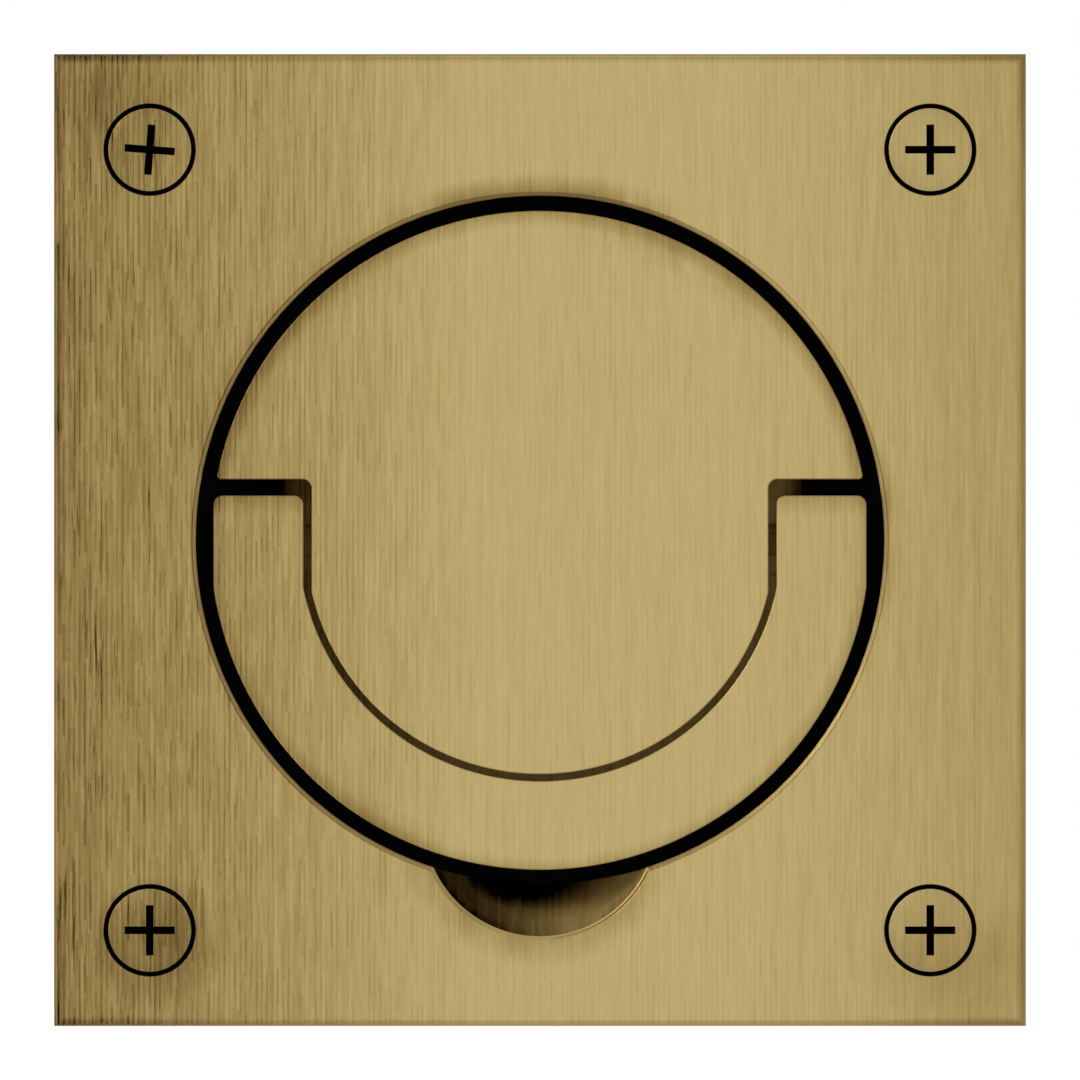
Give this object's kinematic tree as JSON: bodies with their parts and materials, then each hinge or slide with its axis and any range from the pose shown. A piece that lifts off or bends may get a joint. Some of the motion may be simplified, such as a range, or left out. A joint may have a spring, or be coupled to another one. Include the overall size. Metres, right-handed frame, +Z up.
{
  "type": "recessed pull handle",
  "caption": "Square brass plate with a round recess, a fixed D-shaped centre block and a flush U-shaped ring that swings out for pulling a door or drawer.",
  "frame": {"origin": "centre of the four mounting screws, in the rear plane of the face plate, which lies on the door; it is also on the centre line of the recess", "axes": "+Z up as installed, -Y out of the face towards the person who pulls, +X to the right seen from the front"},
  "size_m": [0.0636, 0.016, 0.0636],
  "materials": {
    "satin_brass": "satin antique brass, brushed vertically, with darker streaks on the left",
    "black_steel": "black coated steel",
    "dark_pin_steel": "black oxide",
    "screw_brass": "satin brass, dark in the cross recess",
    "zinc_steel": "zinc plated"
  },
  "bodies": {
    "body": {"face_plate": "satin_brass", "back_plate": "black_steel", "centre_block": "satin_brass", "pivot_pin_left": "dark_pin_steel", "pivot_pin_right": "dark_pin_steel", "mounting_screw_top_left": "screw_brass", "mounting_screw_top_right": "screw_brass", "mounting_screw_bottom_left": "screw_brass", "mounting_screw_bottom_right": "screw_brass", "block_screw_1": "zinc_steel", "block_screw_2": "zinc_steel", "block_screw_3": "zinc_steel", "cover_screw_1": "zinc_steel", "cover_screw_2": "zinc_steel", "cover_screw_3": "zinc_steel"},
    "ring": {"pull_ring": "satin_brass"}
  },
  "joints": [
    {"name": "ring_hinge", "type": "hinge", "parent": "body", "child": "ring", "pos_m": [0, -0.001, 0], "axis": [-1, 0, 0], "range_deg": [0, 90]}
  ]
}
